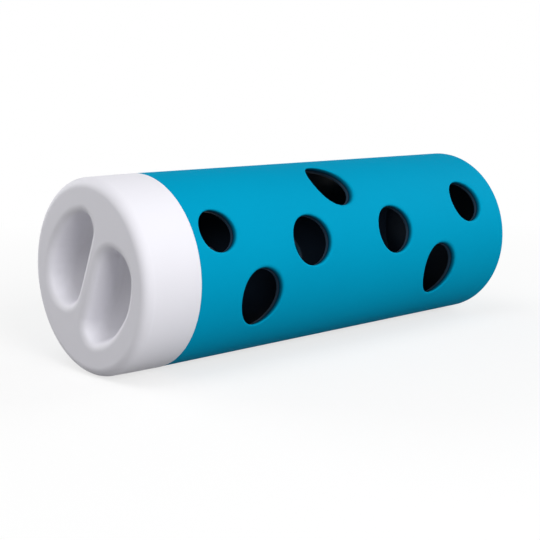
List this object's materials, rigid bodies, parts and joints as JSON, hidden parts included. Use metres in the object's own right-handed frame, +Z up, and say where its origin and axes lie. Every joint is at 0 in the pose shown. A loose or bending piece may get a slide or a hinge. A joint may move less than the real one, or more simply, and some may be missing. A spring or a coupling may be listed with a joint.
{
  "type": "treat dispensing toy",
  "caption": "Cylindrical treat roll for a pet: a soft perforated sleeve over a hard tube, filled through a twist cap with finger pockets, drops treats as it is rolled.",
  "frame": {"origin": "centre of the footprint, on the surface that the roll lies on", "axes": "+X along the roll's axis from the cap to the closed end, +Z up, the roll lying on its side"},
  "size_m": [0.165, 0.06, 0.06],
  "materials": {
    "sleeve_soft": "matt, soft to the touch, fine grain",
    "tube_hard": "smooth, glossy",
    "neck_hard": "satin",
    "cap_white": "matt, fine spark-eroded grain",
    "liner_white": "satin",
    "seal_soft": "matt"
  },
  "bodies": {
    "roll": {"outer_sleeve": "sleeve_soft", "inner_tube": "tube_hard", "end_plug": "tube_hard", "threaded_neck": "neck_hard"},
    "seal": {"cap_seal": "seal_soft"},
    "cap": {"cap_shell": "cap_white", "cap_liner": "liner_white"}
  },
  "joints": [
    {"name": "cap_lift", "type": "slide", "parent": "roll", "child": "seal", "axis": [-1, 0, 0], "range_m": [0, 0.012]},
    {"name": "cap_turn", "type": "hinge", "parent": "seal", "child": "cap", "pos_m": [-0.0825, 0, 0.03], "axis": [-1, 0, 0], "range_deg": [0, 360]}
  ],
  "couplings": [
    {"joint": "cap_lift", "follows": "cap_turn", "m_per_rad": 0.0019099}
  ]
}
